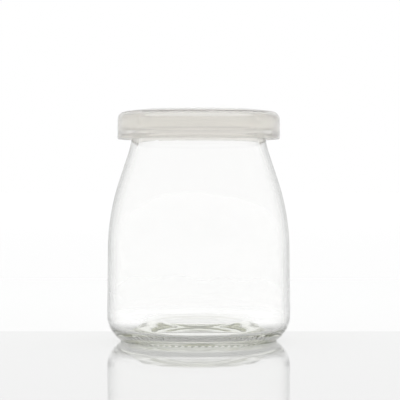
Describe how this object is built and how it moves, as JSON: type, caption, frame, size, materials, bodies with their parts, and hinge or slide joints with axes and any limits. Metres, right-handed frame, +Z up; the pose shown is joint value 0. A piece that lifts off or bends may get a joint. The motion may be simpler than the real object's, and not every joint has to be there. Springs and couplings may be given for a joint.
{
  "type": "glass pudding bottle",
  "caption": "Squat clear glass bottle with a rounded heel, sloping shoulder and wide mouth, closed by a translucent press-on plastic lid.",
  "frame": {"origin": "on the table, at the middle of the bottle's foot", "axes": "+Z up along the bottle's axis; the bottle and the lid are round, so +X and +Y are free"},
  "size_m": [0.0686, 0.0686, 0.0864],
  "materials": {
    "clear_glass": "smooth moulded glass, faint green-yellow where thick",
    "milky_plastic": "natural translucent plastic, satin"
  },
  "bodies": {
    "root": {"glass_bottle": "clear_glass", "snap_lid": "milky_plastic"}
  },
  "joints": []
}
